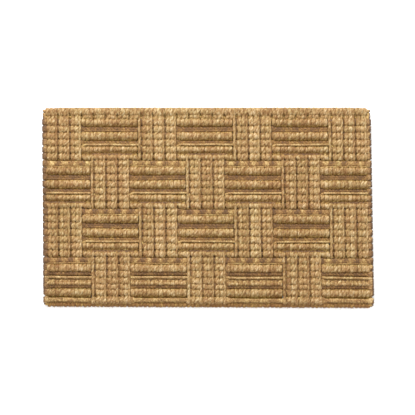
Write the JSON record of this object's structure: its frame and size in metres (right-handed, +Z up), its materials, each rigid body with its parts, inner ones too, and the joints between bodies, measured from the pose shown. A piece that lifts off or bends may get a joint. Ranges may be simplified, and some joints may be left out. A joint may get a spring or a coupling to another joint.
{
  "type": "door mat",
  "caption": "Rectangular hand-loomed coir door mat: flat warp bands interlaced with thick weft cords in staggered blocks of ribs and columns, with corded edges.",
  "frame": {"origin": "on the floor under the middle of the mat", "axes": "+X along the mat's length, parallel to the weft cords; +Y across it towards the back heading cord, parallel to the warp bands; +Z up out of the tread face"},
  "size_m": [0.914, 0.559, 0.0196],
  "materials": {
    "coir_warp": "light golden-brown two-ply coir yarn, rough and matt",
    "coir_weft": "darker brown coir cord, rough and matt",
    "coir_heading": "light coir cord, rough and matt",
    "coir_selvedge": "light coir cord, rough and matt"
  },
  "bodies": {
    "root": {"warp_band_01": "coir_warp", "warp_band_02": "coir_warp", "warp_band_03": "coir_warp", "warp_band_04": "coir_warp", "warp_band_05": "coir_warp", "warp_band_06": "coir_warp", "warp_band_07": "coir_warp", "warp_band_08": "coir_warp", "warp_band_09": "coir_warp", "warp_band_10": "coir_warp", "warp_band_11": "coir_warp", "warp_band_12": "coir_warp", "warp_band_13": "coir_warp", "warp_band_14": "coir_warp", "warp_band_15": "coir_warp", "warp_band_16": "coir_warp", "warp_band_17": "coir_warp", "warp_band_18": "coir_warp", "warp_band_19": "coir_warp", "warp_band_20": "coir_warp", "warp_band_21": "coir_warp", "warp_band_22": "coir_warp", "warp_band_23": "coir_warp", "warp_band_24": "coir_warp", "warp_band_25": "coir_warp", "warp_band_26": "coir_warp", "warp_band_27": "coir_warp", "weft_cord_01": "coir_weft", "weft_cord_02": "coir_weft", "weft_cord_03": "coir_weft", "weft_cord_04": "coir_weft", "weft_cord_05": "coir_weft", "weft_cord_06": "coir_weft", "weft_cord_07": "coir_weft", "weft_cord_08": "coir_weft", "weft_cord_09": "coir_weft", "weft_cord_10": "coir_weft", "weft_cord_11": "coir_weft", "weft_cord_12": "coir_weft", "weft_cord_13": "coir_weft", "weft_cord_14": "coir_weft", "weft_cord_15": "coir_weft", "weft_cord_16": "coir_weft", "weft_cord_17": "coir_weft", "weft_cord_18": "coir_weft", "weft_cord_19": "coir_weft", "weft_cord_20": "coir_weft", "weft_cord_21": "coir_weft", "weft_cord_22": "coir_weft", "weft_cord_23": "coir_weft", "weft_cord_24": "coir_weft", "weft_cord_25": "coir_weft", "weft_cord_26": "coir_weft", "weft_cord_27": "coir_weft", "heading_cord_back": "coir_heading", "heading_cord_front": "coir_heading", "selvedge_cord_left": "coir_selvedge", "selvedge_cord_right": "coir_selvedge"}
  },
  "joints": []
}
